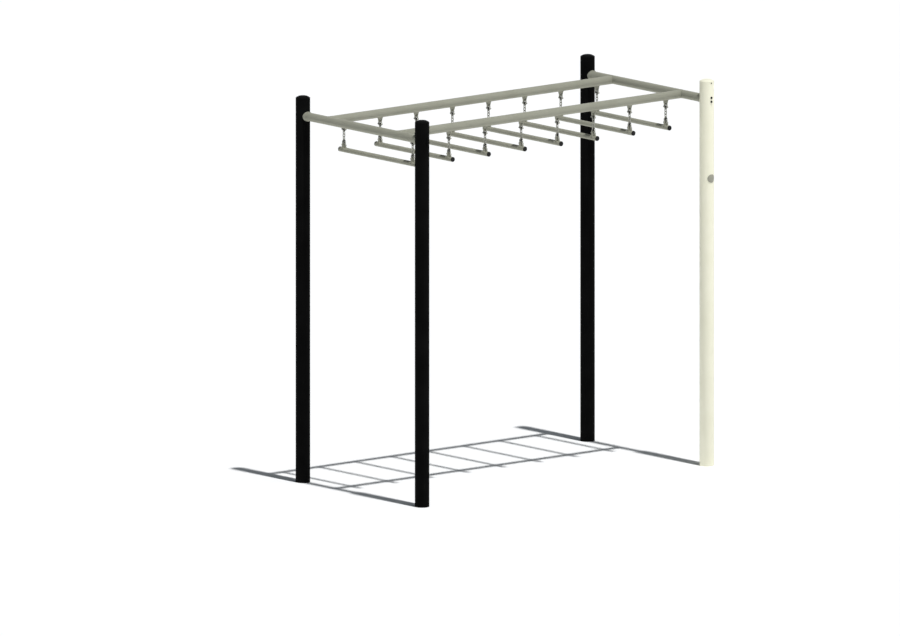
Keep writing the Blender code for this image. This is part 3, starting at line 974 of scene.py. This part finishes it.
@dataclass
class Hangers(SubAssembly):
    """The sixteen short chains, with a shackle, a bolt and two spacers at each end."""

    link_count: int = 5
    link_wire: float = 6 * MM
    link_pitch: float = 18.3 * MM
    link_inside: float = 11 * MM
    link_bite: float = 0.6 * MM
    link_facets: Facets = (24, 12)
    # Share of the wire's diameter and distance along it at each ring
    weld_swell: Profile = (
        (0.46, -1.7 * MM), (0.55, -0.9 * MM), (0.57, 0.0), (0.55, 0.9 * MM), (0.46, 1.7 * MM),
    )
    bow_wire: float = 8 * MM
    bow_inside: float = 23 * MM
    bow_corner: float = 7 * MM
    corner_steps: int = 8
    wire_sides: int = 16
    reach: float = 25 * MM
    eye_diameter: float = 14 * MM
    eye_edge: float = 1 * MM
    round_sides: int = 28
    pin_diameter: float = 8 * MM
    pin_edge: float = 0.6 * MM
    pin_sides: int = 20
    head_height: float = 2.5 * MM
    head_corners: float = 13.5 * MM
    head_taper: float = 0.88
    hexagon_rounding: float = 0.4 * MM
    nut_height: float = 3.5 * MM
    hexagon_share: float = 0.7
    # Share of the nut's corners and of its height at each ring
    nut_collar: Profile = ((0.82, 0.5), (0.82, 0.86), (0.68, 3.2 / 3.5))
    spacer_diameter: float = 18.5 * MM
    spacer_width: float = 6 * MM
    spacer_gap: float = 0.4 * MM
    spacer_rounding: float = 0.7 * MM
    spacer_sides: int = 32
    # From this rung on the bolts point the other way, as they do when the chains are hung by hand
    flipped_from: int = 5

    def first_top(self) -> float:
        """Return the height of the first link's inside top, over the hanger's pivot."""
        return -self.reach + self.pin_diameter / 2 - self.link_bite

    def low_crown(self) -> float:
        """Return the height of the lower shackle's crown, over the hanger's pivot."""
        foot = self.first_top() - self.link_count * (self.link_pitch + self.link_bite)
        return foot + self.bow_wire / 2

    def eye_face(self) -> float:
        """Return the distance from a shackle's middle to the outer face of its eye."""
        return self.bow_inside / 2 + self.bow_wire

    def build(self) -> None:
        """Build the pattern pieces, and copy them to both chains of each rung."""
        patterns = {
            "link_flat": self.link(Axis.Y), "link_turned": self.link(Axis.X), "bow": self.bow(),
            "bolt": self.bolt(), "nut": self.nut(), "spacer": self.spacer(),
        }
        for number, hinge in enumerate(hinge_points("hanger_"), start=1):
            for row in Row:
                pivot = Vector((hinge.x, middle(f"rail_{row.value}").y, hinge.z))
                self.chain(patterns, number, row, pivot)
        discard(patterns.values())

    def chain(self, patterns: dict[str, Piece], number: int, row: Row, pivot: Vector) -> None:
        """Copy the pattern pieces to one chain.

        Args:
            patterns: the pattern pieces by name, each about its own middle.
            number: the rung's number.
            row: the side of the ladder.
            pivot: the point that the chain swings about.
        """
        placed: list[tuple[str, str, Vector, Finish]] = []
        for index in range(self.link_count):
            top = self.first_top() - index * (self.link_pitch + self.link_bite)
            kind = "link_flat" if index % 2 == 0 else "link_turned"
            centre = Axis.Z.way * (top - self.link_pitch / 2)
            placed.append((kind, f"link_{index + 1}", centre, ZINC))
        for end in End:
            crown = Axis.Z.way * (0.0 if end is End.UPPER else self.low_crown())
            seat = crown - Axis.Z.way * self.reach
            placed.append(("bow", f"{end.value}_bow", crown, ZINC))
            placed.append(("bolt", f"{end.value}_bolt", seat, ZINC))
            placed.append(("nut", f"{end.value}_nut", seat, ZINC))
            held = seat if end is End.UPPER else crown
            aside = Axis.Y.way * (self.link_wire / 2 + self.spacer_gap + self.spacer_width / 2)
            for side, word in ((-1, "a"), (1, "b")):
                placed.append(("spacer", f"{end.value}_spacer_{word}", held + aside * side, NYLON))
        tag = f"{number}_{row.value}"
        for kind, word, shift, finish in placed:
            matrix = at(pivot, half_turn=number >= self.flipped_from) @ at(shift)
            piece = copy_of(patterns[kind], matrix)
            self.hand_over(f"{word}_{tag}", piece, finish, f"chain_{tag}", body=f"hanger_{number}")

    def link(self, axis: Axis) -> Piece:
        """Return one link with the swelling of its weld, about its own middle."""
        bend = (self.link_inside + self.link_wire) / 2
        straight = Axis.Z.way * (self.link_pitch - self.link_inside)
        link = oval_ring(axis, straight, bend, self.link_wire, self.link_facets)
        aside = Axis.X if axis is Axis.Y else Axis.Y
        swell = [(self.link_wire * share, rise) for share, rise in self.weld_swell]
        weld = turn_up(Axis.Z, aside.way * bend, self.wire_sides, swell)
        return shade(join([link, weld]), SHARP_COARSE)

    def bow(self) -> Piece:
        """Return a shackle's bow, bent over both corners from one bar, its eyes on the pin's axis."""
        leg = (self.bow_inside + self.bow_wire) / 2
        foot = Vector((0, -leg, -self.reach))
        bar = open_circle(self.wire_sides, self.bow_wire / 2, foot, Axis.Z)
        rise = Axis.Z.way * (self.reach - self.bow_corner)
        across = Axis.Y.way * (leg - self.bow_corner) * 2
        corner = Vector((0, -leg + self.bow_corner, -self.bow_corner))
        for straight in (rise, across):
            bpy.ops.mesh.extrude_region_move(TRANSFORM_OT_translate={"value": straight})
            bpy.ops.mesh.spin(
                steps=self.corner_steps, angle=QUARTER_TURN, center=corner, axis=Axis.X.way
            )
            corner.y = -corner.y
        bpy.ops.mesh.extrude_region_move(TRANSFORM_OT_translate={"value": -rise})
        close_up(bar)
        eyes = [self.eye(side * leg) for side in (-1, 1)]
        return shade(join([bar, *eyes]), SHARP_COARSE)

    def eye(self, across: float) -> Piece:
        """Return the flattened eye at one foot of a bow."""
        half = self.bow_wire / 2
        rim = self.eye_diameter / 2
        edge = self.eye_edge
        profile = [(rim - edge, -half), (rim, -half + edge), (rim, half - edge), (rim - edge, half)]
        return turn_up(Axis.Y, Vector((0, across, -self.reach)), self.round_sides, profile)

    def bolt(self) -> Piece:
        """Return a shackle's bolt along Y, its six-sided head at -Y, about its middle."""
        eye = self.eye_face()
        radius = self.pin_diameter / 2
        tip = eye + self.nut_height
        shank = turn_up(Axis.Y, Vector(), self.pin_sides, [
            (radius, -eye), (radius, tip - self.pin_edge), (radius - self.pin_edge, tip),
        ])
        corner = self.head_corners / 2
        top = -eye - self.head_height
        head = turn_up(Axis.Y, Vector(), HEXAGON, [
            (corner, -eye), (corner, top + MM), (corner * self.head_taper, top),
        ])
        return shade(join([shank, soften(head, self.hexagon_rounding)]), SHARP_SMALL)

    def nut(self) -> Piece:
        """Return a locking nut for the bolt, six-sided with a round collar."""
        eye = self.eye_face()
        corner = self.head_corners / 2
        faces = (eye, eye + self.nut_height * self.hexagon_share)
        body = rod(Axis.Y, Vector(), HEXAGON, corner, faces)
        collar = turn_up(Axis.Y, Vector(), self.round_sides, [
            (corner * share, eye + self.nut_height * rise) for share, rise in self.nut_collar
        ])
        return shade(join([soften(body, self.hexagon_rounding), collar]), SHARP_SMALL)

    def spacer(self) -> Piece:
        """Return a round spacer with softened rims, its bore left filled by the pin."""
        half = self.spacer_width / 2
        radii = (self.spacer_diameter / 2, self.pin_diameter / 2)
        ring = tube(Axis.Y, Vector(), self.spacer_sides, *radii, (-half, half))
        return shade(soften(ring, self.spacer_rounding, FINE_ROUNDING), SHARP_SMALL)


# Studio


@dataclass(frozen=True)
class Lamp:
    """A far lamp: where it stands, its strength, and the spread that softens its shadow."""

    name: str
    azimuth: float
    elevation: float
    strength: float
    spread: float


@dataclass
class Studio:
    """The pale floor, the plain soft light and the camera of the photograph."""

    azimuth: float = -39.945
    elevation: float = 9.968
    image_width: int = 900
    image_height: int = 636
    pixels_per_metre: float = 142.8
    origin_pixel: Span = (504.825, 473.595)
    camera_distance: float = 14.0
    floor_side: float = 90.0
    floor_colour: str = "#FEFEFE"
    floor_roughness: float = 0.9
    floor_glow: float = 0.26
    lamps: tuple[Lamp, ...] = (
        Lamp("key light", 0.0, 75.5, 2.9, 1.2),
        Lamp("fill light", 32.0, 10.0, 0.63, 60.0),
    )
    lamp_distance: float = 10.0
    sky_strength: float = 0.11
    sky_colour: str = "#E4F2FF"
    backdrop_colour: str = "#FFFFFF"

    def build(self) -> None:
        """Set up the view, the floor, the lights and the camera."""
        bpy.context.scene.view_settings.view_transform = "Standard"
        self.floor()
        for lamp in self.lamps:
            self.light(lamp)
        self.sky()
        self.camera()

    @staticmethod
    def towards(azimuth: float, elevation: float) -> Vector:
        """Return the direction from the object to a viewer or a lamp at these angles."""
        a, e = math.radians(azimuth), math.radians(elevation)
        return Vector((math.sin(a) * math.cos(e), -math.cos(a) * math.cos(e), math.sin(e)))

    @staticmethod
    def seen(tree: Tree) -> Output:
        """Return the output that is 1 for camera, glossy and transmission rays."""
        path = add(tree, "LightPath")
        largest = {"operation": "MAXIMUM"}
        first = add(tree, "Math", largest, {0: (path, "Is Camera Ray"), 1: (path, "Is Glossy Ray")})
        second = add(tree, "Math", largest, {0: (first, "Value"), 1: (path, "Is Transmission Ray")})
        return second, "Value"

    def floor(self) -> None:
        """Lay the floor, which shows only shadows, and softly lights the object from below."""
        deselect_all()
        bpy.ops.mesh.primitive_plane_add(size=self.floor_side, location=(0, 0, 0))
        floor = bpy.context.object
        floor.name = "floor"
        material = bpy.data.materials.new("white studio floor")
        material.use_nodes = True
        tree = material.node_tree
        shader = tree.nodes["Principled BSDF"]
        shader.inputs["Base Color"].default_value = linear(self.floor_colour)
        shader.inputs["Roughness"].default_value = self.floor_roughness
        shader.inputs["Specular IOR Level"].default_value = 0.0
        shader.inputs["Emission Color"].default_value = (1, 1, 1, 1)
        unseen = {"To Min": self.floor_glow, "To Max": 0.0}
        glow = add(tree, "MapRange", unseen, {"Value": self.seen(tree)})
        wire_up(tree, shader, {"Emission Strength": (glow, "Result")})
        floor.data.materials.append(material)

    def light(self, lamp: Lamp) -> None:
        """Set up a lamp."""
        data = bpy.data.lights.new(lamp.name, "SUN")
        data.energy = lamp.strength
        data.angle = math.radians(lamp.spread)
        holder = bpy.data.objects.new(lamp.name, data)
        way = self.towards(lamp.azimuth, lamp.elevation)
        holder.location = way * self.lamp_distance
        holder.rotation_mode = "QUATERNION"
        holder.rotation_quaternion = way.to_track_quat("Z", "Y")
        bpy.context.scene.collection.objects.link(holder)

    def sky(self) -> None:
        """Light the object evenly and a little cool from all round, and show white behind it."""
        world = bpy.data.worlds.new("white studio")
        bpy.context.scene.world = world
        world.use_nodes = True
        tree = world.node_tree
        seen = self.seen(tree)
        colours = {"Color1": linear(self.sky_colour), "Color2": linear(self.backdrop_colour)}
        tint = add(tree, "MixRGB", colours, {"Fac": seen})
        level = {"To Min": self.sky_strength, "To Max": 1.0}
        strength = add(tree, "MapRange", level, {"Value": seen})
        links = {"Color": (tint, "Color"), "Strength": (strength, "Result")}
        wire_up(tree, tree.nodes["Background"], links)

    def camera(self) -> None:
        """Set the parallel camera so that the ladder lands where the photograph has it."""
        a = math.radians(self.azimuth)
        back = self.towards(self.azimuth, self.elevation)
        right = Vector((math.cos(a), math.sin(a), 0))
        up = back.cross(right)
        across = (self.image_width / 2 - self.origin_pixel[0]) / self.pixels_per_metre
        rise = (self.origin_pixel[1] - self.image_height / 2) / self.pixels_per_metre
        data = bpy.data.cameras.new("camera")
        data.type = "ORTHO"
        data.ortho_scale = self.image_width / self.pixels_per_metre
        data.clip_end = self.floor_side * 2
        camera = bpy.data.objects.new("camera", data)
        turn = Matrix((right, up, back)).transposed().to_4x4()
        spot = right * across + up * rise + back * self.camera_distance
        camera.matrix_world = Matrix.Translation(spot) @ turn
        bpy.context.scene.collection.objects.link(camera)
        bpy.context.scene.camera = camera


def main() -> None:
    """Build each sub-assembly and the studio, in order."""
    logging.basicConfig(level=logging.INFO, format="%(name)s: %(message)s")
    Studio().build()
    for group in (Posts(), Beams(), Rails(), Rungs(), Hangers()):
        LOG.info("building %s", type(group).__name__)
        group.build()
    deselect_all()


if __name__ == "__main__":
    main()
